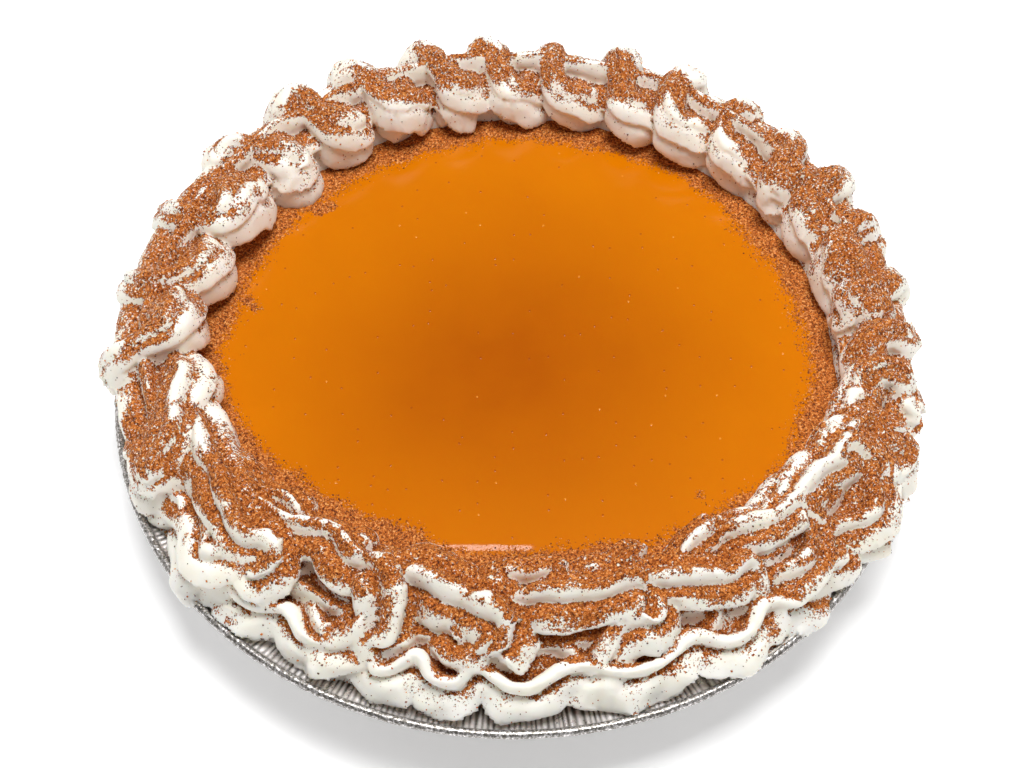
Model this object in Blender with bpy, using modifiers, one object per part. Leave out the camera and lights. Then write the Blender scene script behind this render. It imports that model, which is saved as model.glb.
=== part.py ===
"""Ice cream pie in its own foil tin, with a piped border of whipped cream.

Three pieces, each a closed solid: the pressed foil tin, the frozen filling that it
holds, and one rope of cream piped in loops along the edge.  Metres, +Z up, with the
origin on the underside of the tin at its centre.  The cream's broad side faces -Y.
"""

import math

import bmesh
import bpy
import numpy as np

MM = 0.001

# Foil tin, nine inch size: the sheet's middle line, then the rolled bead on its edge.
FOIL = 0.4 * MM
BASE_RADIUS = 93.0 * MM
WALL_TOP_RADIUS = 110.5 * MM
WALL_TOP_Z = 27.6 * MM
FLANGE_RADIUS = 119.9 * MM
FLANGE_Z = 29.3 * MM
BASE_CORNER = 4.0 * MM
SHOULDER = 2.0 * MM
BEAD_RADIUS = 1.3 * MM
BEAD_CENTRE = (121.2 * MM, 30.0 * MM)
TURN_STEPS = 64

# Filling: flat top a little above the rim, with a soft edge under the cream.
FILLING_TOP = 33.0 * MM
FILLING_EDGE_RADIUS = 107.5 * MM
FILLING_EDGE_ROUND = 3.0 * MM

# Every piece keeps this gap to the next one.
GAP = 0.3 * MM

# Cream: the rope and the nozzle's star.
LOOPS = 29
STEPS_PER_LOOP = 28
ROPE_RADIUS = 8.2 * MM
ROPE_RADIUS_EXTRA = 2.6 * MM
OUTER_SWELL = 0.16
STAR_TEETH = 6
STAR_DEPTH = 0.34
TOOTH_SHARPNESS = 0.7
SECTION_STEPS = 36
SECTION_HEIGHT = 0.92
SECTION_WIDTH = 1.04

# The band that the loops fill, broader and further in at one side.
BAND_INNER = 100.0 * MM
BAND_OUTER = 125.0 * MM
BROAD_HEADING = math.radians(265.0)
BROAD_FALL = 1.3
BROAD_INNER_SHIFT = -19.0 * MM
BROAD_OUTER_SHIFT = -6.5 * MM
INNER_OFFSET_X = 2.0 * MM
OUTER_OFFSET_X = -1.5 * MM
ROPE_INSIDE_BAND = 0.85

# One loop: how far it swings and reaches along the rim, and how it climbs on the last.
EXTRA_SWING = 1.2 * MM
LOOP_REACH = 8.5 * MM
LOOP_REACH_EXTRA = 7.5 * MM
ROPE_LOW_Z = 37.5 * MM
ROPE_CLIMB = 5.0 * MM
CLIMB_DELAY = 0.35
INNER_LIFT = 1.0 * MM
INNER_LIFT_EXTRA = 3.2 * MM

# Unevenness of a hand-held bag.
UNEVEN_ANGLE = math.radians(2.0)
UNEVEN_ROPE = 0.08
UNEVEN_MIDDLE = 1.5 * MM
UNEVEN_LOOP = 0.25
UNEVEN_LEAN = 0.5
UNEVEN_HEIGHT = 1.5 * MM
SEED = 7

# Solid middle of the band, under the loops.
CORE_Z = 35.5 * MM
CORE_HEIGHT = 9.0 * MM
CORE_SPREAD = 4.0 * MM
CORE_STEPS = 16

# Cream past the bead hangs no lower than this below the bead's middle.
OVERHANG_DROP = 3.0 * MM

# Skin of the finished cream.
REMESH_SIZE = 1.6 * MM
KEEP_SHARE = 0.053

FOIL_COLOUR = (0.62, 0.61, 0.58, 1.0)
FILLING_COLOUR = (0.72, 0.24, 0.01, 1.0)
CREAM_COLOUR = (0.90, 0.87, 0.81, 1.0)


def clear_scene():
    for item in list(bpy.data.objects):
        bpy.data.objects.remove(item)


def collection(name):
    group = bpy.data.collections.new(name)
    bpy.context.scene.collection.children.link(group)
    return group


def material(name, colour, roughness, metallic=0.0):
    finish = bpy.data.materials.new(name)
    finish.use_nodes = True
    shader = finish.node_tree.nodes["Principled BSDF"]
    shader.inputs["Base Color"].default_value = colour
    shader.inputs["Roughness"].default_value = roughness
    shader.inputs["Metallic"].default_value = metallic
    return finish


def arc(centre, radius, start, end, steps):
    """Points on a circle in the XZ plane; angles in degrees, 0 outward and 90 up."""
    angles = np.radians(np.linspace(start, end, steps + 1))
    return [(centre[0] + radius * math.cos(a), centre[1] + radius * math.sin(a)) for a in angles]


def rounded(corners, radii, steps=3):
    """A line through the corners, with an arc of the given radius at each inner one."""
    line = [corners[0]]
    for before, corner, after, radius in zip(corners, corners[1:], corners[2:], radii):
        corner = np.array(corner)
        back = np.array(before) - corner
        ahead = np.array(after) - corner
        back = back / np.linalg.norm(back)
        ahead = ahead / np.linalg.norm(ahead)
        half = math.acos(float(np.dot(back, ahead))) / 2
        centre = corner + (back + ahead) / np.linalg.norm(back + ahead) * radius / math.sin(half)
        start = corner + back * radius / math.tan(half) - centre
        end = corner + ahead * radius / math.tan(half) - centre
        first = math.degrees(math.atan2(start[1], start[0]))
        turn = math.degrees(math.atan2(end[1], end[0])) - first
        turn = (turn + 180.0) % 360.0 - 180.0
        line += arc(centre, radius, first, first + turn, steps)
    return line + [corners[-1]]


def beside(line, distance):
    """The line moved sideways: a positive distance goes to its left."""
    points = np.array(line)
    along = np.gradient(points, axis=0)
    along = along / np.linalg.norm(along, axis=1)[:, None]
    moved = points + distance * np.stack([-along[:, 1], along[:, 0]], axis=1)
    moved[:, 0] = np.maximum(moved[:, 0], 0.0)
    return [tuple(p) for p in moved]


def sheet_line():
    """Middle line of the foil, from the axis along the base, wall and flange."""
    corners = [
        (0.0, FOIL / 2),
        (BASE_RADIUS, FOIL / 2),
        (WALL_TOP_RADIUS, WALL_TOP_Z),
        (FLANGE_RADIUS, FLANGE_Z),
    ]
    return rounded(corners, [BASE_CORNER, SHOULDER])


def turned(name, outline, group, finish):
    """A profile on the XZ plane turned once about Z."""
    mesh = bpy.data.meshes.new(name)
    edges = [(i, i + 1) for i in range(len(outline) - 1)]
    mesh.from_pydata([(x, 0.0, z) for x, z in outline], edges, [])
    body = bpy.data.objects.new(name, mesh)
    group.objects.link(body)
    screw = body.modifiers.new("turn", "SCREW")
    screw.axis = "Z"
    screw.steps = TURN_STEPS
    screw.render_steps = TURN_STEPS
    screw.use_merge_vertices = True
    screw.merge_threshold = 0.00005
    screw.use_smooth_shade = True
    mesh.materials.append(finish)
    return body


def foil_tin(group):
    """Pressed sheet with a rolled bead: up the inside, round the bead, down the outside."""
    line = sheet_line()
    inside = beside(line, FOIL / 2)
    outside = beside(line, -FOIL / 2)
    bead = arc(BEAD_CENTRE, BEAD_RADIUS, 195.0, -145.0, 8)
    outline = inside + bead + outside[::-1]
    finish = material("foil", FOIL_COLOUR, 0.3, 1.0)
    return turned("foil_tin", outline, group, finish)


def filling_edge(raise_by=0.0):
    """The filling's soft top edge, moved outward by a distance."""
    centre = (FILLING_EDGE_RADIUS - FILLING_EDGE_ROUND, FILLING_TOP - FILLING_EDGE_ROUND)
    return arc(centre, FILLING_EDGE_ROUND + raise_by, 90.0, 0.0, 3)


def filling(group):
    """Solid filling: flat top, soft edge, then down along the tin's inner face."""
    bed = beside(sheet_line(), FOIL / 2 + GAP)
    wall = [p for p in bed[::-1] if p[1] < WALL_TOP_Z - SHOULDER]
    outline = [(0.0, FILLING_TOP)] + filling_edge() + wall
    finish = material("filling", FILLING_COLOUR, 0.22)
    return turned("filling", outline, group, finish)


def cream_seat(group):
    """Cutter with the shape of all that lies under the cream, a gap larger."""
    bead = arc(BEAD_CENTRE, BEAD_RADIUS + GAP, 165.0, 0.0, 5)
    clear_z = BEAD_CENTRE[1] - OVERHANG_DROP
    outer = BAND_OUTER + ROPE_RADIUS
    line = sheet_line()
    flange = [p for p in beside(line, FOIL / 2 + GAP) if p[0] > WALL_TOP_RADIUS]
    outline = [(0.0, FILLING_TOP + GAP)] + filling_edge(GAP) + flange[:-1] + bead
    outline += [(bead[-1][0], clear_z), (outer, clear_z), (outer, 0.0), (0.0, 0.0)]
    cutter = turned("cream_seat", outline, group, material("cutter", (1, 1, 1, 1), 0.5))
    cutter.hide_render = True
    cutter.display_type = "WIRE"
    return cutter


def wander(share, generator, knots):
    """Smooth closed random curve between about -1 and 1, with evenly spread knots."""
    values = generator.uniform(-1.0, 1.0, knots)
    place = (share % 1.0) * knots
    index = np.floor(place).astype(int)
    part = place - index
    a, b, c, d = (values[(index + k) % knots] for k in (-1, 0, 1, 2))
    bend = 2 * a - 5 * b + 4 * c - d + part * (3 * (b - c) + d - a)
    return b + 0.5 * part * (c - a + part * bend)


def breadth(heading):
    """How far the band broadens: 1 at the broad side, 0 over the other half."""
    return np.clip(np.cos(heading - BROAD_HEADING), 0.0, 1.0) ** BROAD_FALL


def band(heading, rope):
    """Radius of the rope's middle at the band's inner and outer edge."""
    broad = breadth(heading)
    inner = BAND_INNER + BROAD_INNER_SHIFT * broad + INNER_OFFSET_X * np.cos(heading)
    outer = BAND_OUTER + BROAD_OUTER_SHIFT * broad + OUTER_OFFSET_X * np.cos(heading)
    return inner + ROPE_INSIDE_BAND * rope, outer - rope


def rope_path(generator):
    """Middle line and radius of the rope: overlapping loops, inner part forward."""

    def uneven(amount, knots=LOOPS):
        return amount * wander(share, generator, knots)

    share = np.arange(LOOPS * STEPS_PER_LOOP) / (LOOPS * STEPS_PER_LOOP)
    phase = 2 * math.pi * LOOPS * share
    heading = BROAD_HEADING - 2 * math.pi * share + uneven(UNEVEN_ANGLE)
    broad = breadth(heading)
    rope = ROPE_RADIUS + ROPE_RADIUS_EXTRA * broad
    rope = rope * (1 - OUTER_SWELL * np.cos(phase) + uneven(UNEVEN_ROPE, 2 * LOOPS))
    inner, outer = band(heading, rope)
    middle = (inner + outer) / 2 + uneven(UNEVEN_MIDDLE, LOOPS // 2)
    swing = (outer - inner) / 2 * (1 + uneven(UNEVEN_LOOP)) + EXTRA_SWING
    reach = (LOOP_REACH + LOOP_REACH_EXTRA * broad) * (1 + uneven(UNEVEN_LOOP))
    radius = middle - swing * np.cos(phase + uneven(UNEVEN_LEAN))
    angle = heading - reach * np.sin(phase) / middle
    lift = (INNER_LIFT + INNER_LIFT_EXTRA * broad) * np.cos(phase)
    height = ROPE_LOW_Z + ROPE_CLIMB * (1 - np.sin(phase - CLIMB_DELAY)) + lift
    height = height + uneven(UNEVEN_HEIGHT)
    path = np.stack([radius * np.cos(angle), radius * np.sin(angle), height], axis=1)
    return path, rope


def star_tube(path, rope):
    """Rings of points: a star that keeps its compass direction while the rope turns."""
    along = np.roll(path, -2, axis=0) - np.roll(path, 2, axis=0)
    along = along / np.linalg.norm(along, axis=1)[:, None]
    side = np.cross((0.0, 0.0, 1.0), along)
    side = side / np.linalg.norm(side, axis=1)[:, None]
    upward = np.cross(along, side)
    turn = np.arctan2(along[:, 1], along[:, 0])
    around = np.linspace(0.0, 2 * math.pi, SECTION_STEPS, endpoint=False)
    wave = np.sin(STAR_TEETH * (around[None, :] + turn[:, None]) / 2)
    tooth = np.abs(wave) ** TOOTH_SHARPNESS
    size = rope[:, None] * (1 - STAR_DEPTH * (1 - tooth))
    down = -SECTION_HEIGHT * np.cos(around)[None, :, None] * upward[:, None, :]
    across = SECTION_WIDTH * np.sin(around)[None, :, None] * side[:, None, :]
    return path[:, None, :] + size[..., None] * (down + across)


def core_tube():
    """Rings of points for the middle of the band, which no air gap may cross."""
    heading = np.linspace(0.0, 2 * math.pi, TURN_STEPS, endpoint=False)
    inner, outer = band(heading, ROPE_RADIUS + ROPE_RADIUS_EXTRA * breadth(heading))
    around = np.linspace(0.0, 2 * math.pi, CORE_STEPS, endpoint=False)
    half = (outer - inner)[:, None] / 2 + CORE_SPREAD
    radius = (outer + inner)[:, None] / 2 + half * np.cos(around)
    height = np.broadcast_to(CORE_Z + CORE_HEIGHT * np.sin(around), radius.shape)
    turn = heading[:, None]
    return np.stack([radius * np.cos(turn), radius * np.sin(turn), height], axis=2)


def add_tube(build, rings):
    """Join rings of points to a closed ring-shaped skin."""
    verts = [[build.verts.new(point) for point in ring] for ring in rings]
    for ring, following in zip(verts, verts[1:] + verts[:1]):
        for k, corner in enumerate(ring):
            build.faces.new((corner, ring[k - 1], following[k - 1], following[k]))


def largest_shell(mesh):
    """Drop every loose shell but the largest, such as the skin of a trapped bubble."""
    build = bmesh.new()
    build.from_mesh(mesh)
    unseen = set(build.verts)
    shells = []
    while unseen:
        shell = []
        front = [unseen.pop()]
        while front:
            corner = front.pop()
            shell.append(corner)
            near = {edge.other_vert(corner) for edge in corner.link_edges} & unseen
            unseen -= near
            front += near
        shells.append(shell)
    shells.sort(key=len)
    for shell in shells[:-1]:
        bmesh.ops.delete(build, geom=shell, context="VERTS")
    build.to_mesh(mesh)
    build.free()


def piped_cream(group, cutter):
    """One rope of cream, laid in overlapping loops and settled on what lies under it."""
    generator = np.random.default_rng(SEED)
    build = bmesh.new()
    add_tube(build, star_tube(*rope_path(generator)))
    add_tube(build, core_tube())
    mesh = bpy.data.meshes.new("piped_cream")
    build.to_mesh(mesh)
    build.free()
    body = bpy.data.objects.new("piped_cream", mesh)
    group.objects.link(body)

    merge = body.modifiers.new("merge", "REMESH")
    merge.mode = "VOXEL"
    merge.voxel_size = REMESH_SIZE
    merged = body.evaluated_get(bpy.context.evaluated_depsgraph_get())
    body.data = bpy.data.meshes.new_from_object(merged)
    body.modifiers.remove(merge)
    largest_shell(body.data)
    body.data.materials.clear()
    body.data.materials.append(material("cream", CREAM_COLOUR, 0.5))
    body.data.shade_smooth()

    thin = body.modifiers.new("thin", "DECIMATE")
    thin.ratio = KEEP_SHARE
    settle = body.modifiers.new("settle", "BOOLEAN")
    settle.operation = "DIFFERENCE"
    settle.object = cutter
    return body


def main():
    clear_scene()
    parts = collection("ice_cream_pie")
    cutters = collection("cutters")
    foil_tin(parts)
    filling(parts)
    piped_cream(parts, cream_seat(cutters))


main()
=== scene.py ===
"""Ice cream pie in a foil tin: set orange filling, piped whipped cream, dusted cinnamon."""

import math

import bpy
import numpy as np
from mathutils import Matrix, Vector


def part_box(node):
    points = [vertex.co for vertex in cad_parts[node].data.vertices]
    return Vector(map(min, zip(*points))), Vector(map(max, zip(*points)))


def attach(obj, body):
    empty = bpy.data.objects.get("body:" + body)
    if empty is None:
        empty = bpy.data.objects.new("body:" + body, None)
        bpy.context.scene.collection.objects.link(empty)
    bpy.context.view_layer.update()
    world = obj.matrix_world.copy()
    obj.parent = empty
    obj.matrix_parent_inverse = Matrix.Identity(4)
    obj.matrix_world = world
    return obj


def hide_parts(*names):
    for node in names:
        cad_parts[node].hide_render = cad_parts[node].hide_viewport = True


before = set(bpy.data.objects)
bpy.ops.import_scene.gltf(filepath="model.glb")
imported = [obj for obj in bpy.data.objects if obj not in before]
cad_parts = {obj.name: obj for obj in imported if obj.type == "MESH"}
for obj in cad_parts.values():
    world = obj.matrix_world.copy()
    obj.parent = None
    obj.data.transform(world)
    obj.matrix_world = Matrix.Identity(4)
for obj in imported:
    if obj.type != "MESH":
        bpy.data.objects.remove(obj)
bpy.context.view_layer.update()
MM = 0.001


# ---------------------------------------------------------------------------------------
# Foil tin.  A round of thin aluminium foil pressed to a shallow dish: the spare metal of
# the wall and flange is gathered in fine pleats, and the edge is rolled to a stiff bead.
# Its section is turned about Z in Geometry Nodes, and pleated and dented on the way.
# ---------------------------------------------------------------------------------------

class Wire:
    """A node's output.  Sums on it add Math nodes, or Vector Math where it is a vector."""

    def __init__(self, socket):
        self.socket = socket

    def __getitem__(self, name):
        return Wire(next(s for s in self.socket.node.outputs if s.name == name and s.enabled))

    def sum(self, operation, *values):
        is_vector = any(isinstance(v, Wire) and v.socket.type in ("VECTOR", "RGBA")
                        for v in values)
        if is_vector:
            values = [v if isinstance(v, (Wire, tuple)) else (v, v, v) for v in values]
        kind = "ShaderNodeVectorMath" if is_vector else "ShaderNodeMath"
        return Tree(self.socket.id_data).node(kind, {"operation": operation}, *values)

    def __add__(self, other):
        return self.sum("ADD", self, other)

    def __sub__(self, other):
        return self.sum("SUBTRACT", self, other)

    def __mul__(self, other):
        return self.sum("MULTIPLY", self, other)

    def __truediv__(self, other):
        return self.sum("DIVIDE", self, other)

    def __pow__(self, other):
        return self.sum("POWER", self, other)

    def __rsub__(self, other):
        return self.sum("SUBTRACT", other, self)

    def __neg__(self):
        return self * -1.0

    __radd__ = __add__
    __rmul__ = __mul__


class Tree:
    """Adds nodes to a node tree."""

    def __init__(self, tree):
        self.tree = tree

    def node(self, kind, settings=None, *values, **named):
        """A node of a kind: its settings first, then values or wires for its sockets."""
        made = self.tree.nodes.new(kind)
        for name, value in (settings or {}).items():
            if name == "captures":
                for label, data in value.items():
                    made.capture_items.new(data, label)
            else:
                setattr(made, name, value)
        sockets = [s for s in made.inputs if s.enabled]
        pairs = list(zip(sockets, values))
        for label, value in named.items():
            label = label.replace("_", " ")
            pairs.append((next(s for s in sockets if s.name == label), value))
        for socket, value in pairs:
            for one in value if isinstance(value, list) else [value]:
                if isinstance(one, Wire):
                    self.tree.links.new(one.socket, socket)
                elif one is not None:
                    socket.default_value = one
        shown = [s for s in made.outputs if s.enabled]
        return Wire(shown[0]) if shown else None

    def noise(self, place, size, detail=2.0, roughness=0.5, channel=0.0):
        """Soft noise around 0, from about -0.5 to 0.5, with features of a size."""
        return self.node(
            "ShaderNodeTexNoise", {"noise_dimensions": "4D"}, place, channel, 1.0 / size,
            Detail=detail, Roughness=roughness) - 0.5

    def ease(self, value, low, high, to_low=0.0, to_high=1.0):
        """A smooth step of a value, from to_low at low to to_high at high."""
        return self.node(
            "ShaderNodeMapRange", {"interpolation_type": "SMOOTHSTEP"},
            value, low, high, to_low, to_high)

    def math(self, operation, *values):
        """A Math node of values or wires."""
        return self.node("ShaderNodeMath", {"operation": operation}, *values)

    def length(self, vector):
        """The length of a vector."""
        return self.node("ShaderNodeVectorMath", {"operation": "LENGTH"}, vector)

    def stored(self, label):
        """A value stored on the geometry."""
        return self.node("GeometryNodeInputNamedAttribute", {"data_type": "FLOAT"}, label)

    def painted(self, label):
        """A value stored on the geometry, read in a material."""
        return self.node("ShaderNodeAttribute", {"attribute_name": label})["Fac"]

    def store(self, geometry, label, value, domain="POINT"):
        """The geometry with a value stored on it."""
        return self.node(
            "GeometryNodeStoreNamedAttribute", {"data_type": "FLOAT", "domain": domain},
            geometry, Name=label, Value=value)


SOCKETS = {
    float: "NodeSocketFloat",
    int: "NodeSocketInt",
    bpy.types.Material: "NodeSocketMaterial",
}


def grow(name, base, rule, finish, **sizes):
    """The plain mesh that a geometry tree makes of a base mesh.

    rule(tree, geometry, inputs) builds the tree and returns the geometry; every size
    becomes a named input of the tree, set on the modifier.
    """
    group = bpy.data.node_groups.new(name, "GeometryNodeTree")
    sizes["Finish"] = finish
    group.interface.new_socket("Geometry", in_out="INPUT", socket_type="NodeSocketGeometry")
    group.interface.new_socket("Geometry", in_out="OUTPUT", socket_type="NodeSocketGeometry")
    labels = {}
    for label, value in sizes.items():
        kind = next(k for t, k in SOCKETS.items() if isinstance(value, t))
        socket = group.interface.new_socket(label, in_out="INPUT", socket_type=kind)
        labels[socket.identifier] = value
    start = group.nodes.new("NodeGroupInput")
    inputs = {label: Wire(start.outputs[label]) for label in sizes}
    tree = Tree(group)
    made = rule(tree, Wire(start.outputs["Geometry"]), inputs)
    made = tree.node("GeometryNodeRealizeInstances", None, made)
    made = tree.node("GeometryNodeSetMaterial", None, made, Material=inputs["Finish"])
    end = group.nodes.new("NodeGroupOutput")
    group.links.new(made.socket, end.inputs["Geometry"])

    body = bpy.data.objects.new(name, base)
    bpy.context.scene.collection.objects.link(body)
    modifier = body.modifiers.new("grow", "NODES")
    modifier.node_group = group
    for identifier, value in labels.items():
        modifier[identifier] = value
    return settle(body)


def settle(body):
    """Turn a body's modifiers into plain mesh, and drop them."""
    graph = bpy.context.evaluated_depsgraph_get()
    mesh = bpy.data.meshes.new_from_object(body.evaluated_get(graph))
    body.modifiers.clear()
    body.data = mesh
    return body


def points_mesh(name, points, closed=(), loose=(), **values):
    """A mesh of points in millimetres, joined to lines of the lengths given."""
    mesh = bpy.data.meshes.new(name)
    edges = []
    first = 0
    for length in closed:
        edges += [(first + i, first + (i + 1) % length) for i in range(length)]
        first += length
    for length in loose:
        edges += [(first + i, first + i + 1) for i in range(length - 1)]
        first += length
    mesh.from_pydata(np.asarray(points) * MM, edges, [])
    for label, numbers in values.items():
        numbers = np.asarray(numbers, np.float32)
        kind = "FLOAT_VECTOR" if numbers.ndim == 2 else "FLOAT"
        field = "vector" if numbers.ndim == 2 else "value"
        mesh.attributes.new(label, kind, "POINT").data.foreach_set(field, numbers.ravel())
    return mesh


def material(name):
    """A material with a bare Principled shader, and its tree."""
    made = bpy.data.materials.new(name)
    made.use_nodes = True
    made.node_tree.nodes.clear()
    tree = Tree(made.node_tree)
    shader = tree.node("ShaderNodeBsdfPrincipled")
    tree.node("ShaderNodeOutputMaterial", None, shader)
    tree.shader = shader.socket.node
    return made, tree


def finish(tree, **values):
    """Values or wires for the shader's own sockets."""
    for label, value in values.items():
        socket = tree.shader.inputs[label.replace("_", " ")]
        if isinstance(value, Wire):
            tree.tree.links.new(value.socket, socket)
        else:
            socket.default_value = value


def mix(tree, share, first, second):
    """Colour from first to second by a share."""
    return tree.node("ShaderNodeMix", {"data_type": "RGBA"}, share, first, second)


RIM_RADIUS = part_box("foil_tin")[1].x / MM
FOIL = 0.4
BEAD = 1.3
BEAD_MIDDLE = (RIM_RADIUS - BEAD + 0.05, 30.0)
TIN_STEPS = 2250
PLEATS = 450


def bow(middle, radius, start, end, steps):
    """Points on an arc, in degrees with 0 outward and 90 up."""
    angles = np.radians(np.linspace(start, end, steps + 1))
    return [(middle[0] + radius * math.cos(a), middle[1] + radius * math.sin(a)) for a in angles]


# The sheet from the middle of the base outward, with how much each point is pleated.
sheet = [(0.0, 0.2, 0.0), (60.0, 0.2, 0.0), (86.0, 0.2, 0.02), (90.5, 0.3, 0.08),
         (92.6, 0.9, 0.15), (94.2, 2.9, 0.25), (98.4, 9.4, 0.35), (102.6, 15.9, 0.5),
         (106.3, 21.4, 0.7), (108.9, 25.4, 0.9), (109.9, 26.9, 1.0), (111.3, 27.7, 1.0),
         (114.0, 28.2, 1.0), (117.0, 28.7, 1.0), (119.2, 29.15, 0.8), (119.9, 29.3, 0.4)]
line = np.array([(x, z) for x, z, _ in sheet])
weight = np.array([w for _, _, w in sheet])
along = np.gradient(line, axis=0)
along /= np.linalg.norm(along, axis=1)[:, None]
across = np.stack([-along[:, 1], along[:, 0]], axis=1)
inside = line + across * FOIL / 2
outside = line - across * FOIL / 2
bead = np.array(bow(BEAD_MIDDLE, BEAD, 195.0, -145.0, 10))
outline = np.concatenate([inside, bead, outside[::-1]])
outline[:, 0] = np.maximum(outline[:, 0], 0.0)
push = np.concatenate([across, np.zeros_like(bead), across[::-1]])
pleat = np.concatenate([weight, np.zeros(len(bead)), weight[::-1]])
rolled = np.concatenate([0 * weight, np.ones(len(bead)), 0 * weight])


def turned(tree, outline_points, count, steps):
    """Grid wrapped once about Z on an outline, with the point and turn of each vertex."""
    grid = tree.node("GeometryNodeMeshGrid", None, 1.0, 1.0, count, steps + 1)
    index = tree.node("GeometryNodeInputIndex")
    point = tree.math("FLOOR", index / (steps + 1.0))
    turn = (index - point * (steps + 1.0)) * (2 * math.pi / steps)

    def sampled(value, data="FLOAT"):
        return tree.node("GeometryNodeSampleIndex", {"data_type": data, "domain": "POINT"},
                         outline_points, value, point)

    return grid, turn, sampled


def round_about(tree, radius, turn, height):
    """The point at a radius, a turn about Z and a height."""
    return tree.node("ShaderNodeCombineXYZ", None, radius * tree.math("COSINE", turn),
                     radius * tree.math("SINE", turn), height)


def split(tree, vector):
    """The X, Y and Z of a vector."""
    return tree.node("ShaderNodeSeparateXYZ", None, vector)


def turn_of(tree, place):
    """The turn about Z of a split place."""
    return tree.math("ARCTAN2", place["Y"], place["X"])


def length_of(tree, place):
    """The distance from the Z axis of a split place."""
    flat = tree.node("ShaderNodeCombineXYZ", None, place["X"], place["Y"], 0.0)
    return tree.length(flat)


def pressed_tin(tree, geometry, inputs):
    """The sheet's section turned to a dish, with pleats, dents and a crimped bead."""
    grid, turn, sampled = turned(tree, geometry, len(outline), TIN_STEPS)
    spot = split(tree, sampled(tree.node("GeometryNodeInputPosition"), "FLOAT_VECTOR"))
    across_sheet = tree.node("GeometryNodeInputNamedAttribute", {"data_type": "FLOAT_VECTOR"}, "push")
    aside = split(tree, sampled(across_sheet, "FLOAT_VECTOR"))
    share = sampled(tree.stored("pleat"))
    on_bead = sampled(tree.stored("rolled"))
    radius, height = spot["X"], spot["Z"]
    compass = round_about(tree, inputs["Rim"], turn, 0.0)
    lean = tree.noise(compass, 0.009, 2.0) * 3.2 + (radius - inputs["Rim"]) * 60.0 \
        * tree.noise(compass, 0.006, 1.0, channel=3.0)
    count = turn * (PLEATS / (2 * math.pi)) + lean
    wave = tree.math("PINGPONG", count, 0.5) * 4.0 - 1.0
    uneven = tree.noise(compass + (radius - inputs["Rim"]) * 0.3, 0.0022, 2.0, 0.7, channel=6.0)
    wave = wave + uneven * 1.6
    strength = tree.ease(tree.noise(compass, 0.0025, 1.0, channel=1.0), -0.25, 0.25, 0.35, 1.0)
    place = round_about(tree, radius, turn, height)
    dents = tree.noise(place, 0.016, 3.0, channel=5.0) * inputs["Dents"] * share
    shift = wave * strength * share * inputs["Pleat Depth"] + dents
    crimp = tree.noise(compass, 0.0016, 2.0, channel=7.0) * on_bead * inputs["Crimp"]
    bent = tree.noise(compass, 0.05, 2.0, channel=9.0) * inputs["Out Of Round"] \
        * tree.ease(height, 0.0, 0.03)
    place = round_about(
        tree, radius + aside["X"] * shift + bent + crimp * 0.6, turn,
        height + aside["Z"] * shift + crimp * 0.5)
    made = tree.node("GeometryNodeSetPosition", None, grid, Position=place)
    made = tree.store(made, "rolled", on_bead)
    # The pleat wave, kept for the foil's painted reflection and shade.
    made = tree.store(made, "crest", wave * strength * share)
    made = tree.node("GeometryNodeMergeByDistance", None, made, Distance=0.02 * MM)
    return tree.node("GeometryNodeSetShadeSmooth", None, made, Shade_Smooth=True)


foil, tree = material("foil")
spot = tree.node("ShaderNodeTexCoord")["Object"]
crease = tree.noise(spot, 0.0035, 4.0, 0.6)
scratch = tree.noise(spot, 0.0006, 3.0, 0.6, channel=2.0)
shade = tree.ease(crease + scratch * 0.5, -0.25, 0.3)
# Painted reflection and shade: the foil's colour is dark in the pleat valleys and near the cream,
# light on the pleat crests and toward the bead, with light and dark ticks along the bead.
crest = tree.painted("crest")
rolled_in = tree.painted("rolled")
outward = tree.ease(length_of(tree, split(tree, spot)), 0.108, 0.1195, -0.55, 0.45)
painted_reflection = tree.ease((crest * 1.3 + outward) * (1.0 - rolled_in) + scratch * 0.6
                   + rolled_in * (scratch * 3.6 - 0.15), -0.60, 0.75)
finish(
    tree, Metallic=0.7,
    Base_Color=mix(tree, painted_reflection, (0.17, 0.155, 0.135, 1.0),
                   mix(tree, shade, (0.86, 0.82, 0.81, 1.0), (1.0, 0.97, 0.97, 1.0))),
    Roughness=tree.ease(crease, -0.3, 0.3, 0.22, 0.40),
    Normal=tree.node("ShaderNodeBump", None, Strength=0.35, Distance=0.0004,
                     Height=crease + scratch * 0.35))

tin = grow("foil_tin_pressed",
           points_mesh("tin_outline", [(x, 0.0, z) for x, z in outline],
                       push=[(x, 0.0, z) for x, z in push], pleat=pleat, rolled=rolled),
           pressed_tin, foil, Rim=RIM_RADIUS * MM, **{
               "Pleat Depth": 0.32 * MM, "Dents": 0.7 * MM, "Crimp": 0.9 * MM,
               "Out Of Round": 0.8 * MM})
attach(tin, "root")
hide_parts("foil_tin")


# ---------------------------------------------------------------------------------------
# Filling.  Frozen orange custard poured into the tin and set: flat and glossy, with fine
# bubbles and spice specks caught in the skin, and a short dip before the broad cream.  Its
# section is turned about Z in Geometry Nodes.
# ---------------------------------------------------------------------------------------

filling_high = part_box("filling")[1]
FILLING_TOP = filling_high.z / MM
FILLING_RADIUS = filling_high.x / MM
FILLING_STEPS = 360
BROAD_SIDE = math.radians(265.0)
FOOT_RADIUS = 0.0985
DIP_SLOPE = (0.0632, 0.0647)
DIP_END = (0.0180, 0.0140)
DIP_LEFT = 0.011

edge = bow((FILLING_RADIUS - 3.0, FILLING_TOP - 3.0), 3.0, 90.0, 0.0, 5)
rings = [*np.linspace(0.0, 60.0, 20), *np.linspace(60.7, FILLING_RADIUS - 4.0, 61)]
outline_filling = [(r, FILLING_TOP) for r in rings] + edge \
    + [(FILLING_RADIUS, 28.0), (109.0, 26.3), (94.3, 3.7), (92.0, 1.0), (88.0, 0.75), (0.0, 0.75)]


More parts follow.
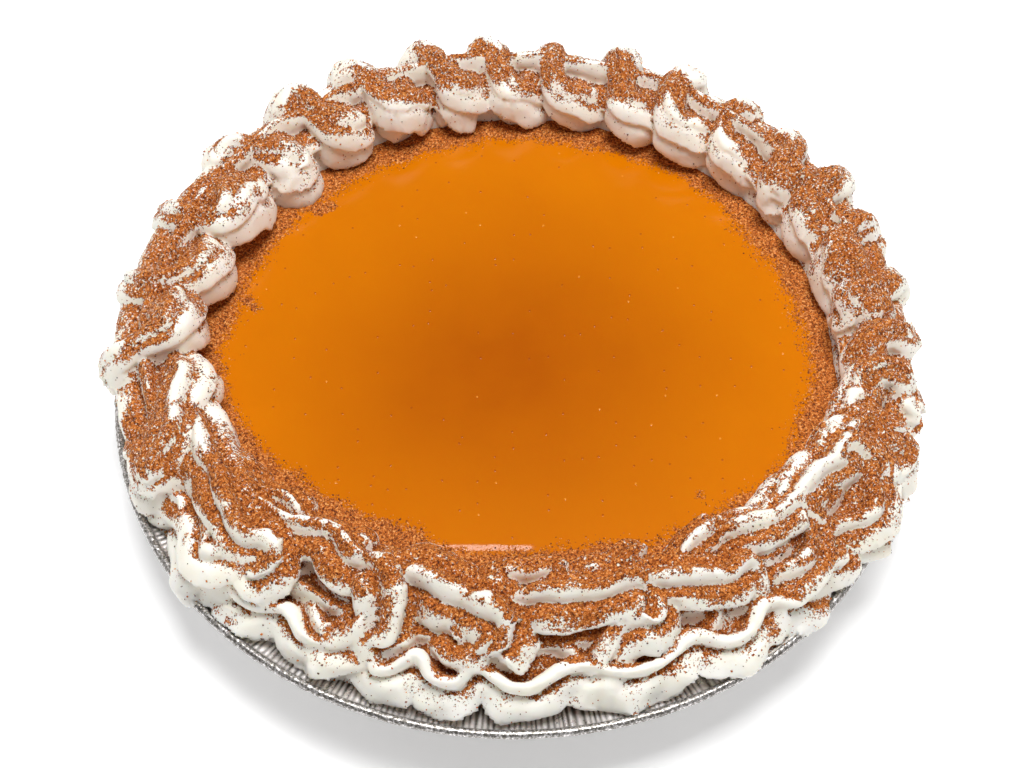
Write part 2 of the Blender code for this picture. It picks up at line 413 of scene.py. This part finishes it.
def cream_foot(tree, turn):
    """Radius where the filling meets the cream, for a turn about Z."""
    facing = tree.math("COSINE", turn - BROAD_SIDE)
    side = tree.math("COSINE", turn)
    broad = tree.math("MAXIMUM", facing, 0.0) ** 1.3
    return FOOT_RADIUS + side * 0.0025 - broad * 0.030


def set_custard(tree, geometry, inputs):
    """The filling's section turned solid, with a faintly swelling top and its dip."""
    grid, turn, sampled = turned(tree, geometry, len(outline_filling), FILLING_STEPS)
    spot = split(tree, sampled(tree.node("GeometryNodeInputPosition"), "FLOAT_VECTOR"))
    radius, height = spot["X"], spot["Z"]
    place = round_about(tree, radius, turn, height)
    on_top = tree.ease(height, FILLING_TOP * MM - 0.0004, FILLING_TOP * MM - 0.0001)
    flat = split(tree, place)
    aside = tree.math("ABSOLUTE", flat["X"] + DIP_LEFT)
    ragged = tree.noise(place, 0.010, 2.0, channel=2.0) * 0.0016
    dip = tree.ease(ragged - flat["Y"], *DIP_SLOPE) * tree.ease(aside, *DIP_END) * inputs["Dip"]
    swell = tree.noise(place, 0.045, 1.0) * inputs["Swell"]
    shift = (swell - dip) * on_top
    made = tree.node("GeometryNodeSetPosition", None, grid,
                     Position=round_about(tree, radius, turn, height + shift))
    made = tree.node("GeometryNodeMergeByDistance", None, made, Distance=0.02 * MM)
    return tree.node("GeometryNodeSetShadeSmooth", None, made, Shade_Smooth=True)


# Places where damp cinnamon has clumped, in millimetres.
CLUMPS = [(-63.4, 63.0), (-60.0, 64.5), (-81.5, 22.9), (-83.5, 25.5), (-35.5, 88.3), (54.4, -46.2)]
CINNAMON = (0.53, 0.140, 0.015, 1.0)
CINNAMON_DARK = (0.09, 0.014, 0.001, 1.0)
CINNAMON_LIGHT = (0.82, 0.40, 0.13, 1.0)
CINNAMON_SPECK = (0.26, 0.075, 0.015, 1.0)


def cinnamon_colour(tree, spot):
    """Ground bark: mostly red brown, with darker and lighter grains."""
    grain = tree.noise(spot, 0.0008, 3.0, 0.85, channel=11.0)
    tone = mix(tree, tree.ease(grain, -0.11, 0.03), CINNAMON_DARK, CINNAMON)
    return mix(tree, tree.ease(grain, 0.04, 0.12), tone, CINNAMON_LIGHT)


def rim_dust(tree, place):
    """How thickly cinnamon lies on the filling: a ring beside the cream, ragged inside."""
    radius = length_of(tree, place)
    turn = turn_of(tree, place)
    edge = radius - cream_foot(tree, turn)
    right = tree.ease(tree.math("COSINE", turn - math.radians(8.0)), 0.55, 1.0)
    near = tree.ease(tree.math("COSINE", turn - math.radians(262.0)), 0.95, 0.99)
    ragged = tree.noise(place_of(tree), 0.014, 3.0, 0.6, channel=4.0)
    ring = tree.ease(edge + right * 0.005 - near * 0.003 + ragged * 0.014, -0.0150, 0.001) ** 1.8
    for x, y in CLUMPS:
        away = tree.node("ShaderNodeCombineXYZ", None, place["X"] - x * MM, place["Y"] - y * MM, 0.0)
        away = tree.length(away)
        ring = ring + tree.ease(away + ragged * 0.006, 0.0036, 0.0012, 0.0, 0.55)
    return ring * tree.ease(edge, 0.022, 0.014)


def place_of(tree):
    """The place on the piece, for a mesh tree or a shader."""
    if tree.tree.type == "GEOMETRY":
        return tree.node("GeometryNodeInputPosition")
    return tree.node("ShaderNodeTexCoord")["Object"]


custard, tree = material("custard")
spot = place_of(tree)
place = split(tree, spot)
middle = tree.ease(length_of(tree, place) + tree.noise(spot, 0.05, 2.0) * 0.03, 0.0, 0.095)
cloud = tree.ease(tree.noise(spot, 0.022, 3.0, channel=6.0), -0.3, 0.3)
orange = mix(tree, middle, (0.375, 0.074, 0.0, 1.0), (0.625, 0.175, 0.0, 1.0))
orange = mix(tree, cloud * 0.35, orange, (0.53, 0.133, 0.0, 1.0))
cells = tree.node("ShaderNodeTexVoronoi", {"voronoi_dimensions": "2D"}, spot, Scale=1 / 0.0052)
bubble = tree.ease(cells["Distance"], 0.085, 0.04)
chosen = tree.math("GREATER_THAN", split(tree, cells["Color"])["X"], 0.80)
fleck = bubble * chosen
dark_fleck = tree.math("GREATER_THAN", split(tree, cells["Color"])["Y"], 0.82)
fleck_colour = mix(tree, dark_fleck, (0.30, 0.055, 0.003, 1.0), (0.80, 0.30, 0.03, 1.0))
orange = mix(tree, fleck * 0.65, orange, fleck_colour)
dust = rim_dust(tree, place)
grains = tree.noise(spot, 0.0009, 2.0, 0.7, channel=8.0)
dusted = tree.ease(grains * 1.7 + dust, 0.46, 0.58)
finish(
    tree, IOR=1.38, Specular_IOR_Level=0.35,
    Subsurface_Weight=0.12, Subsurface_Radius=(0.006, 0.002, 0.0005), Subsurface_Scale=0.5,
    Base_Color=mix(tree, dusted, orange, cinnamon_colour(tree, spot)),
    Roughness=tree.ease(dusted, 0.0, 1.0, 0.16, 0.75),
    Normal=tree.node("ShaderNodeBump", None, Strength=0.5, Distance=0.0005,
                     Height=dusted * 0.8 + fleck * 0.3 + tree.noise(spot, 0.003, 2.0) * 0.04))

filling = grow("filling_set",
               points_mesh("filling_outline", [(x, 0.0, z) for x, z in outline_filling]),
               set_custard, custard, Dip=0.45 * MM, Swell=0.12 * MM)
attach(filling, "root")
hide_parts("filling")


# ---------------------------------------------------------------------------------------
# Whipped cream.  A rope from a star nozzle, laid clockwise in loops on a plain ring: small
# and round at the back, long and drawn at the broad front, with plump strokes inside and a
# frilled line outside.  The lines are swept in Geometry Nodes and joined into one skin.
# ---------------------------------------------------------------------------------------

LOOP_HEADINGS = [249, 228, 209, 191, 176, 162, 148, 135, 123, 111, 100, 89, 78, 67,
                 56.5, 46, 36, 26, 16, 6, -4, -15, -27, -40, -55, -72, -90]
LOOPS = len(LOOP_HEADINGS)
LOOP_STEPS = 72
TEETH = 6
STAR_POINTS = 96
DRAWN_SIDE = math.radians(267.0)
SKIRT_SIDE = math.radians(268.0)
OVERHANG_SIDE = math.radians(-36.0)
CREAM_SEED = 7

dice = np.random.default_rng(CREAM_SEED)
turns = np.arange(LOOPS * LOOP_STEPS) / LOOP_STEPS


def knots(values, place):
    """Smooth closed curve through evenly spread values."""
    values = np.asarray(values, float)
    index = np.floor(place).astype(int)
    part = place - index
    a, b, c, d = (values[(index + k) % len(values)] for k in (-1, 0, 1, 2))
    bend = 2 * a - 5 * b + 4 * c - d + part * (3 * (b - c) + d - a)
    return b + 0.5 * part * (c - a + part * bend)


def wander(amount, per_loop=1.0):
    """Random closed curve, up to an amount either way, so many knots to a loop."""
    count = max(int(LOOPS * per_loop), 1)
    return knots(dice.uniform(-amount, amount, count), turns * count / LOOPS)


spread = np.array(LOOP_HEADINGS) + 360.0 / LOOPS * np.arange(LOOPS)
heading = np.radians(knots(spread, turns) - 360.0 / LOOPS * turns)
broad = np.clip(np.cos(heading - BROAD_SIDE), 0.0, 1.0) ** 1.3
drawn = np.clip(np.cos(heading - DRAWN_SIDE) * 1.45, 0.0, 1.0) ** 0.8
facing = np.cos(heading - BROAD_SIDE)
phase = 2 * math.pi * turns
left = np.clip(-np.cos(heading), 0.0, 1.0)
frill = np.sin(9 * phase + wander(2.0, 2)) * drawn
rope = (7.3 + 0.9 * left + 3.4 * broad) * (1 + wander(0.16, 3) + 0.06 * frill) \
    + (1 - drawn) * (1.0 * np.cos(phase) + 1.4 * np.cos(2 * phase))
plump = 0.55 - 0.20 * drawn
inner = 96.0 - 17.0 * broad + 2.0 * np.cos(heading) + rope
outer = 126.5 - 12.0 * broad - (3.2 + 0.9 * np.cos(heading)) * np.cos(heading) ** 2 - rope
outer = outer + 5.0 * np.exp(-((heading - OVERHANG_SIDE) / 0.27) ** 2)
ring = (inner + outer) / 2 + wander(1.0, 0.5)
swing = (outer - inner) / 2 * (1 + wander(0.25)) + 1.5 * (1 - drawn)
reach = 22.0 * drawn * (1 + wander(0.35)) + 2.0 + (1 - drawn) * wander(4.0)
outside = 0.5 - 0.5 * np.cos(phase)
ruffle = 0.6 + (0.9 + 1.2 * outside) * drawn
wave = np.sin(6 * phase + wander(1.5, 2)) * drawn * (0.5 + outside)
radius = ring - swing * np.cos(phase + wander(0.5)) + ruffle * wander(1.0, 9) + 1.5 * wave
angle = heading - (reach * np.sin(phase) + 0.8 * ruffle * wander(1.0, 9)) / ring
height = 44.0 - 1.7 * broad - 1.3 * drawn - (4.5 + 1.0 * drawn) * np.sin(phase - 0.35) \
    + (0.6 + 4.2 * facing) * np.cos(phase) + wander(1.8) + ruffle * wander(1.1, 9) - 1.2 * wave
rope_line = np.stack([radius * np.cos(angle), radius * np.sin(angle), height], axis=1)
twist = wander(0.35, 1.5)

# The plain ring under the loops, wider at the back.
CORE_STEPS = 120
core_turn = np.linspace(0.0, 2 * math.pi, CORE_STEPS, endpoint=False)
core_broad = np.clip(np.cos(core_turn - BROAD_SIDE), 0.0, 1.0) ** 1.3
core_back = np.clip(0.6 - np.cos(core_turn - BROAD_SIDE), 0.0, 1.0)
core_ring = 113.5 - 12.5 * core_broad - (3.0 + np.cos(core_turn)) * np.cos(core_turn) ** 2
core_line = np.stack([core_ring * np.cos(core_turn), core_ring * np.sin(core_turn),
                      37.0 + 4.5 * core_back - 2.0 * core_broad], axis=1)
core_size = 12.0 + 0.3 * core_back - 0.2 * core_broad

# A frilled line under the front of the rope, drawn back inside the core elsewhere.
SKIRT_STEPS = 720
skirt_turn = np.linspace(0.0, 2 * math.pi, SKIRT_STEPS, endpoint=False)
skirt_out = np.clip(np.cos(skirt_turn - SKIRT_SIDE) * 2.2, 0.0, 1.0)
skirt_wave = skirt_out * np.sin(29 * skirt_turn + 1.6 * np.sin(3 * skirt_turn)
                                + 1.1 * np.sin(7 * skirt_turn))
skirt_ring = 110.0 + skirt_out * (
    -2.6 + 3.8 * np.exp(-((np.degrees(skirt_turn) - 312.0) / 16.0) ** 2)
    + 2.5 * np.exp(-((np.degrees(skirt_turn) - 218.0) / 18.0) ** 2)) + 2.0 * skirt_wave
skirt_line = np.stack([skirt_ring * np.cos(skirt_turn), skirt_ring * np.sin(skirt_turn),
                       35.8 - 1.3 * skirt_wave], axis=1)
skirt_size = 4.0 + skirt_out * 5.0

# Tongues of the broad front: each is one plump stroke, laid with its rounded tip on the
# tail of the next.  Tip turn, tip radius, height, length, thickness.
TONGUES = [
    (203, 95, 48, 26, 6.6), (216, 91, 49, 28, 7.0), (230, 87, 49, 30, 7.4), (245, 85, 50, 28, 7.4),
    (259, 83, 49, 26, 7.0), (280, 82, 51, 34, 7.8), (296, 84, 49, 28, 7.4), (311, 88, 50, 30, 7.4),
    (325, 93, 50, 32, 7.2), (338, 98, 49, 28, 6.8)]
TONGUE_STEPS = 41
tongue_lines = []
tongue_sizes = []
for tip, tip_radius, high, length, thick in TONGUES:
    stroke = 1 - (1 - np.linspace(0.0, 1.0, TONGUE_STEPS)) ** 1.5
    shake = dice.uniform(-1.0, 1.0, 6)
    ripple = np.sin(stroke * length * 0.36 + 3 * shake[0])
    tongue_radius = tip_radius + 4.5 * (1 - stroke) + 1.2 * ripple * (1.3 - stroke) + 1.2 * shake[2]
    tongue_turn = np.radians(tip + 2 * shake[3]) - (1 - stroke) * length / tip_radius
    tongue_height = high + shake[4] - 9.0 * (1 - stroke) ** 1.6 - 0.8 * ripple - 1.5 * stroke ** 6
    tongue_lines.append(np.stack([tongue_radius * np.cos(tongue_turn),
                                  tongue_radius * np.sin(tongue_turn), tongue_height], axis=1))
    rounding = np.sqrt(np.clip(1 - ((stroke - 0.80) / 0.203).clip(0.0, 1.0) ** 2, 0.01, 1.0))
    tongue_sizes.append(thick * rounding * (0.72 + 0.28 * np.clip(stroke * 2.2, 0.0, 1.0))
                        * (1 + 0.05 * ripple))
tongue_points = np.concatenate(tongue_lines)
tongue_size = np.concatenate(tongue_sizes)


def piped_rope(tree, geometry, inputs):
    """A star section swept along the lines, its teeth sagging and filled out."""
    around = tree.node("GeometryNodeInputIndex") * (2 * math.pi / STAR_POINTS)
    tooth = tree.math("PINGPONG", around * (TEETH / math.pi), 1.0)
    tooth = tree.ease(tooth, -0.05, 1.25, 0.0, 1.1) ** inputs["Tooth Shape"]
    size = 1.0 - inputs["Tooth Depth"] * (1.0 - tooth)
    star = tree.node("GeometryNodeCurvePrimitiveCircle", {"mode": "RADIUS"}, STAR_POINTS,
                     Radius=1.0)
    star = tree.node("GeometryNodeSetPosition", None, star,
                     Position=round_about(tree, size, around, 0.0))
    line = tree.node("GeometryNodeMeshToCurve", None, geometry)
    line = tree.node("GeometryNodeSetCurveNormal", {"mode": "Z_UP"}, line)
    line = tree.node("GeometryNodeSetCurveTilt", None, line, Tilt=tree.stored("twist"))
    line = tree.node("GeometryNodeCaptureAttribute", {"captures": {"centre": "VECTOR"}}, line,
                     centre=tree.node("GeometryNodeInputPosition"))
    rope = tree.node("GeometryNodeCurveToMesh", None, line, star, Scale=tree.stored("size"),
                     Fill_Caps=True)
    aside = tree.node("GeometryNodeInputPosition") - line["centre"]
    reach = tree.length(aside)
    crest = (reach / tree.stored("size") - 1.0) / inputs["Tooth Depth"] + 1.0
    level = 1.0 - (split(tree, aside)["Z"] / reach) ** 2.0
    drop = crest * crest * level * tree.stored("size") * inputs["Sag"]
    fuller = aside * ((tree.stored("size") / reach - 1.0) * tree.stored("plump"))
    return tree.node("GeometryNodeSetPosition", None, rope,
                     Offset=fuller + tree.node("ShaderNodeCombineXYZ", None, 0.0, 0.0, -drop))


# Radius in metres of the groove between the rows of lobes, and of the cream's outer edge.
VALLEY = 0.110
CREAM_EDGE = 0.121


def settled_cream(tree, geometry, inputs):
    """The set skin: swollen and softly uneven, resting on filling and foil, and dusted."""
    spot = tree.node("GeometryNodeInputPosition")

    def stir(size, channel):
        return tree.node("ShaderNodeTexNoise", {"noise_dimensions": "4D"}, spot, channel,
                         1.0 / size, Detail=1.0)["Color"] - 0.5

    place = split(tree, spot)
    radius = length_of(tree, place)
    skirt = tree.ease(radius, 106.0 * MM, 114.0 * MM) * tree.ease(place["Z"], 42.0 * MM, 35.0 * MM)
    front = tree.ease(place["Y"], -0.04, -0.09)
    blurred = tree.node("GeometryNodeBlurAttribute", {"data_type": "FLOAT_VECTOR"}, spot, 40, 1.0)
    made = tree.node("GeometryNodeSetPosition", None, geometry,
                     Offset=(spot - blurred) * (inputs["Swell"] * (0.5 + front * 0.5)))
    made = tree.node("GeometryNodeSetPosition", None, made,
                     Offset=stir(0.016, 1.0) * (inputs["Stir"] * (1.0 + front * 0.25))
                     + stir(0.006, 2.0) * inputs["Fine Stir"]
                     + stir(0.013, 3.0) * (skirt * inputs["Skirt Stir"]))
    on_filling = tree.ease(radius, (FILLING_RADIUS - 2.5) * MM, (FILLING_RADIUS + 0.5) * MM,
                           (FILLING_TOP - 1.3) * MM, 29.6 * MM)
    on_bead = tree.ease(radius, 119.4 * MM, 120.4 * MM, 0.0, 1.9 * MM)
    past_bead = tree.ease(radius, 122.4 * MM, 123.4 * MM, 0.0, 4.0 * MM)
    seat = on_filling + on_bead - past_bead
    height = tree.math("MAXIMUM", place["Z"], seat)
    made = tree.node("GeometryNodeSetPosition", None, made,
                     Position=tree.node("ShaderNodeCombineXYZ", None, place["X"], place["Y"], height))
    soft = tree.node("GeometryNodeBlurAttribute", {"data_type": "FLOAT_VECTOR"}, spot, 10, 1.0)
    normal = tree.node("GeometryNodeInputNormal")
    hollow = tree.node("ShaderNodeVectorMath", {"operation": "DOT_PRODUCT"}, soft - spot, normal)
    made = tree.store(made, "hollow", hollow * (1.0 / MM))
    # How far each point lies inside a broad groove, kept for the painted shade in the cream's colour.
    softer = tree.node("GeometryNodeBlurAttribute", {"data_type": "FLOAT_VECTOR"}, spot, 34, 1.0)
    deep = tree.node("ShaderNodeVectorMath", {"operation": "DOT_PRODUCT"}, softer - spot, normal)
    made = tree.store(made, "deep", deep * (1.0 / MM))
    facing = split(tree, normal)
    up = tree.ease(facing["Z"] * 0.9 + facing["Y"] * 0.45, -0.10, 0.55)
    foot = cream_foot(tree, turn_of(tree, place))
    wide = tree.ease(foot, 0.086, 0.079)
    off_middle = tree.math(
        "ABSOLUTE", radius - VALLEY + tree.noise(spot, 0.018, 1.0, channel=3.0) * 0.016)
    valley = tree.ease(off_middle, 0.0110, 0.0030, -0.28, 0.85)
    share = (radius - foot) / (CREAM_EDGE - foot)
    sown = tree.ease(share, 0.94, 0.54, -0.58, 0.74)
    sown = valley + (sown - valley) * wide
    patch = tree.noise(spot, 0.0085, 3.0, 0.6, channel=5.0)
    hollow = tree.stored("hollow")
    bare = tree.ease(tree.noise(spot, 0.022, 1.0, channel=7.0), -0.12, 0.12, 0.05, 0.85)
    crest = tree.ease(hollow, -0.62, -0.24, 1.0, 0.0) * bare
    sideways = tree.math("ABSOLUTE", place["X"])
    sides = tree.ease(sideways, 0.070, 0.100, 0.0, 0.06) \
        + tree.ease(place["X"], 0.055, 0.095, 0.0, 0.24)
    low = tree.ease(place["Z"], (FILLING_TOP + 3.5) * MM, (FILLING_TOP + 1.0) * MM, 0.0, 0.95) \
        * wide * tree.ease(radius - foot, 0.022, 0.015)
    dust = up * (0.84 + patch * 3.5 + sown + sides + hollow * 0.7 - crest) + low
    dust = tree.math("MINIMUM", dust, 0.92 + wide * 0.18)
    made = tree.store(made, "dust", dust)
    return tree.node("GeometryNodeSetShadeSmooth", None, made, Shade_Smooth=True)


# White cream, with painted shade darkening cream and cinnamon in its grooves, and cinnamon in fine
# specks and drifts.
cream, tree = material("cream")
spot = place_of(tree)
dust = tree.painted("dust")
grain = tree.noise(spot, 0.0008, 2.0, 0.8, channel=8.0)
speck = tree.noise(spot, 0.0016, 1.0, 0.6, channel=9.0)
holes = tree.ease(tree.noise(spot, 0.0011, 2.0, 0.6, channel=12.0), 0.11, 0.18, 1.0, 0.15)
dusted = tree.ease(grain * 2.8 + dust, 0.55, 0.70) * holes
specks = tree.ease(speck + tree.ease(dust, -0.1, 0.5) * 0.11, 0.28, 0.31)
shade = tree.math("MAXIMUM", dusted, specks)
white = mix(tree, tree.ease(tree.noise(spot, 0.012, 3.0), -0.3, 0.3),
            (0.97, 0.90, 0.78, 1.0), (0.985, 0.94, 0.86, 1.0))
# Painted shade: in the grooves the cream turns a darker beige and the cinnamon nearly black.
deep = tree.ease(tree.painted("deep"), 0.4, 2.8)
white = mix(tree, deep * 0.5, white, (0.70, 0.56, 0.42, 1.0))
bark = mix(tree, deep * 0.95, cinnamon_colour(tree, spot), (0.08, 0.014, 0.001, 1.0))
finish(
    tree, IOR=1.36, Subsurface_Weight=0.45, Subsurface_Radius=(0.005, 0.004, 0.003),
    Subsurface_Scale=0.6,
    Base_Color=mix(tree, shade, white, mix(tree, dusted, CINNAMON_SPECK, bark)),
    Roughness=tree.ease(shade, 0.0, 1.0, 0.42, 0.85),
    Normal=tree.node("ShaderNodeBump", None, Strength=0.8, Distance=0.0005,
                     Height=shade * (0.9 + grain * 1.5) + tree.noise(spot, 0.0012, 3.0, 0.6) * 0.2))

# The skin's cell in millimetres, and how many of its faces are kept, in triangle pairs.
SKIN_CELL = 0.7
CREAM_PAIRS = 97000.0
flat_core = np.zeros(CORE_STEPS)
flat_skirt = np.zeros(SKIRT_STEPS)
flat_tongues = np.zeros(TONGUE_STEPS * len(TONGUES))
laid = grow(
    "laid_rope",
    points_mesh("rope", np.concatenate([rope_line, core_line, skirt_line, tongue_points]),
                (len(rope_line), CORE_STEPS, SKIRT_STEPS), [TONGUE_STEPS] * len(TONGUES),
                size=np.concatenate([rope, core_size, skirt_size, tongue_size]) * MM,
                plump=np.concatenate([plump, flat_core, flat_skirt, flat_tongues + 0.40]),
                twist=np.concatenate([-twist, flat_core, flat_skirt + 0.40, flat_tongues])),
    piped_rope, cream, **{"Tooth Depth": 0.54, "Tooth Shape": 0.62, "Sag": 0.42})
skin = laid.modifiers.new("skin", "REMESH")
skin.mode = "VOXEL"
skin.voxel_size = SKIN_CELL * MM
settle(laid)
whipped = grow("whipped_cream", laid.data, settled_cream, cream,
               **{"Swell": 1.1, "Stir": 4.0 * MM, "Fine Stir": 1.0 * MM, "Skirt Stir": 8.0 * MM})
bpy.data.objects.remove(laid)
thin = whipped.modifiers.new("thin", "DECIMATE")
thin.ratio = min(1.0, CREAM_PAIRS / len(whipped.data.polygons))
settle(whipped)
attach(whipped, "root")
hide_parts("piped_cream")


# ---------------------------------------------------------------------------------------
# Ground cinnamon.  Shaken over the cream and the edge of the filling from above: loose
# angular grains under a millimetre, thick in drifts and scattered between them.
# ---------------------------------------------------------------------------------------

def shaken(tree, geometry, inputs):
    """Grains on a surface, as thick as its dust."""
    dust = tree.stored("dust")
    density = tree.ease(dust, inputs["Bare"], inputs["Full"]) * inputs["Thickest"] \
        + tree.ease(dust, -0.25, inputs["Bare"]) * inputs["Scattered"]
    points = tree.node("GeometryNodeDistributePointsOnFaces", {"distribute_method": "RANDOM"},
                       geometry, Density=density, Seed=inputs["Seed"])
    grain = tree.node("GeometryNodeMeshUVSphere", None, 4, 2, 1.0)
    spin = tree.node("FunctionNodeRandomValue", {"data_type": "FLOAT_VECTOR"},
                     (0.0, 0.0, 0.0), (6.28, 6.28, 6.28), Seed=1)
    size = tree.node("FunctionNodeRandomValue", {"data_type": "FLOAT_VECTOR"},
                     (0.45, 0.45, 0.45), (1.0, 1.0, 1.0), Seed=2)
    big = tree.node("FunctionNodeRandomValue", {"data_type": "FLOAT"}, 0.0, 1.0, Seed=3) ** 4.0
    tone = tree.node("FunctionNodeRandomValue", {"data_type": "FLOAT"}, 0.0, 1.0, Seed=4)
    laid = tree.node("GeometryNodeInstanceOnPoints", None, points, Instance=grain, Rotation=spin,
                     Scale=size * (inputs["Grain"] * (1.0 + big * 1.2)))
    laid = tree.store(laid, "tone", tone, "INSTANCE")
    laid = tree.node("GeometryNodeRealizeInstances", None, laid)
    return tree.node("GeometryNodeSetShadeSmooth", None, laid, Shade_Smooth=False)


def dusted_filling(tree, geometry, inputs):
    """Grains on the filling's top, in the ring beside the cream."""
    place = split(tree, tree.node("GeometryNodeInputPosition"))
    facing = split(tree, tree.node("GeometryNodeInputNormal"))
    dust = rim_dust(tree, place) * tree.ease(facing["Z"], 0.7, 0.9)
    inside = tree.ease(length_of(tree, place) - cream_foot(tree, turn_of(tree, place)), 0.010, 0.006)
    return shaken(tree, tree.store(geometry, "dust", dust * inside), inputs)


cinnamon, tree = material("cinnamon")
tone = tree.painted("tone")
bark = mix(tree, tree.ease(tone, 0.2, 0.75), CINNAMON_DARK, CINNAMON)
finish(tree, Roughness=0.8, Base_Color=mix(tree, tree.ease(tone, 0.7, 1.0), bark, CINNAMON_LIGHT))

on_cream = grow("cinnamon_on_cream", whipped.data.copy(), shaken, cinnamon,
                **{"Bare": 0.42, "Full": 0.85, "Thickest": 0.36e6, "Scattered": 2.2e5,
                   "Grain": 0.27 * MM, "Seed": 5})
on_filling = grow("cinnamon_on_filling", filling.data.copy(), dusted_filling, cinnamon,
                  **{"Bare": 0.05, "Full": 0.9, "Thickest": 3.1e6, "Scattered": 0.0,
                     "Grain": 0.21 * MM, "Seed": 6})
for grains in (on_cream, on_filling):
    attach(grains, "root")


# ---------------------------------------------------------------------------------------
# Table, light and camera.  A white table, one big lamp nearly overhead, weak ones round
# about, and a long lens from the front and above.
# ---------------------------------------------------------------------------------------

table_mesh = bpy.data.meshes.new("table")
table_mesh.from_pydata([(-3, -3, 0), (3, -3, 0), (3, 3, 0), (-3, 3, 0)], [], [(0, 1, 2, 3)])
table = bpy.data.objects.new("table", table_mesh)
bpy.context.scene.collection.objects.link(table)
paper, tree = material("table")
finish(tree, Roughness=0.7, Emission_Color=(1.0, 1.0, 1.0, 1.0), Emission_Strength=0.36,
       Base_Color=mix(tree, tree.ease(tree.noise(place_of(tree), 0.3), -0.3, 0.3),
                      (0.97, 0.97, 0.975, 1.0), (0.98, 0.98, 0.98, 1.0)))
table_mesh.materials.append(paper)

PIE_MIDDLE = Vector((0.0, 0.0, 0.03))


def soft_box(name, place, width, power):
    """A flat light of a size in metres, turned to the pie."""
    data = bpy.data.lights.new(name, "AREA")
    data.shape = "RECTANGLE"
    data.size = width
    data.size_y = width
    data.energy = power
    light = bpy.data.objects.new(name, data)
    light.location = place
    light.rotation_euler = (PIE_MIDDLE - Vector(place)).to_track_quat("-Z", "Y").to_euler()
    bpy.context.scene.collection.objects.link(light)


soft_box("key", (0.06, 0.03, 1.1), 0.5, 13.0)
soft_box("side", (-1.0, 0.4, 0.6), 0.6, 2.2)
soft_box("other_side", (1.1, 0.2, 0.5), 0.6, 1.2)
soft_box("front", (0.3, -1.1, 0.6), 0.8, 0.6)

world = bpy.data.worlds.new("studio")
world.use_nodes = True
sky = world.node_tree.nodes["Background"].inputs
sky["Color"].default_value = (1.0, 1.0, 1.0, 1.0)
sky["Strength"].default_value = 0.13
bpy.context.scene.world = world
bpy.context.scene.view_settings.view_transform = "Standard"

CAMERA_TILT = math.radians(54.85)
CAMERA_DISTANCE = 0.600
CAMERA_LENS = 68.38
RIM_HEIGHT = 0.030
SLIDE = (-0.00079, -0.00344)
camera_data = bpy.data.cameras.new("camera")
camera_data.sensor_width = 36.0
camera_data.lens = CAMERA_LENS
camera = bpy.data.objects.new("camera", camera_data)
aim = Vector((0.0, -math.cos(CAMERA_TILT), math.sin(CAMERA_TILT)))
above = Vector((0.0, math.sin(CAMERA_TILT), math.cos(CAMERA_TILT)))
camera.location = Vector((SLIDE[0], 0.0, RIM_HEIGHT)) + aim * CAMERA_DISTANCE + above * SLIDE[1]
camera.rotation_euler = (math.pi / 2 - CAMERA_TILT, 0.0, 0.0)
bpy.context.scene.collection.objects.link(camera)
bpy.context.scene.camera = camera
